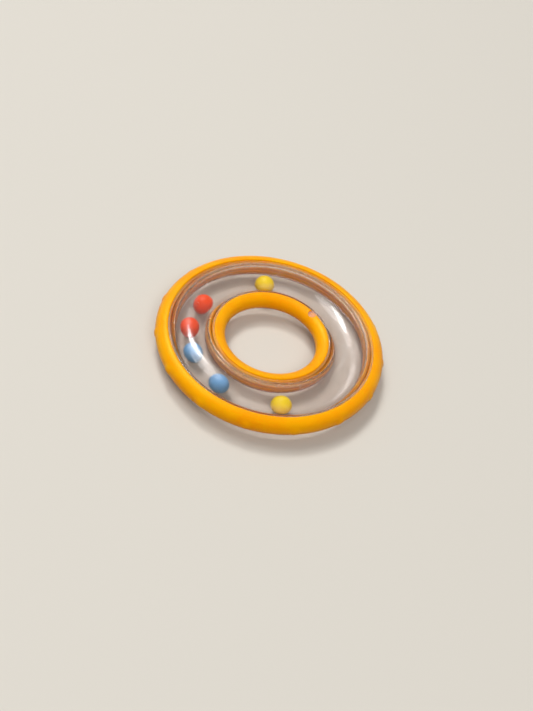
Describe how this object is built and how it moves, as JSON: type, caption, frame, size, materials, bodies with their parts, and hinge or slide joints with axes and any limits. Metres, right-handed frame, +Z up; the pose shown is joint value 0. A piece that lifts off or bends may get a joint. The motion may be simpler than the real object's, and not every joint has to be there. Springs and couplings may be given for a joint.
{
  "type": "baby rattle ring",
  "caption": "Round baby rattle: a soft outer and inner ring grip a clear hollow hoop, in which loose coloured beads roll round when it is shaken. Low bumps on the rim to chew on.",
  "frame": {"origin": "centre of the ring, on the surface that its lower crown rests on", "axes": "+Z up along the ring's axis, +X to the right and +Y away from the viewer of the picture"},
  "size_m": [0.1005, 0.1005, 0.0152],
  "materials": {
    "clear_plastic": "clear, polished, with fine wear scratches",
    "soft_orange": "satin, soft moulded",
    "yellow_bead": "satin",
    "red_bead": "satin",
    "blue_bead": "satin"
  },
  "bodies": {
    "hoop": {"upper_shell": "clear_plastic", "lower_shell": "clear_plastic", "outer_ring": "soft_orange", "inner_ring": "soft_orange"},
    "yellow_back": {"bead_yellow_back": "yellow_bead"},
    "red_back": {"bead_red_back": "red_bead"},
    "red_front": {"bead_red_front": "red_bead"},
    "blue_back": {"bead_blue_back": "blue_bead"},
    "blue_front": {"bead_blue_front": "blue_bead"},
    "yellow_front": {"bead_yellow_front": "yellow_bead"}
  },
  "joints": [
    {"name": "yellow_back_roll", "type": "hinge", "parent": "hoop", "child": "yellow_back", "pos_m": [0, 0, 0.006], "axis": [0, 0, 1], "continuous": true},
    {"name": "red_back_roll", "type": "hinge", "parent": "yellow_back", "child": "red_back", "pos_m": [0, 0, 0.006], "axis": [0, 0, 1], "range_deg": [-41.5, 31.5]},
    {"name": "red_front_roll", "type": "hinge", "parent": "red_back", "child": "red_front", "pos_m": [0, 0, 0.006], "axis": [0, 0, 1], "range_deg": [-10.8, 31.5]},
    {"name": "blue_back_roll", "type": "hinge", "parent": "red_front", "child": "blue_back", "pos_m": [0, 0, 0.006], "axis": [0, 0, 1], "range_deg": [-7.9, 31.5]},
    {"name": "blue_front_roll", "type": "hinge", "parent": "blue_back", "child": "blue_front", "pos_m": [0, 0, 0.006], "axis": [0, 0, 1], "range_deg": [-15.8, 31.5]},
    {"name": "yellow_front_roll", "type": "hinge", "parent": "blue_front", "child": "yellow_front", "pos_m": [0, 0, 0.006], "axis": [0, 0, 1], "range_deg": [-30, 31.5]}
  ]
}
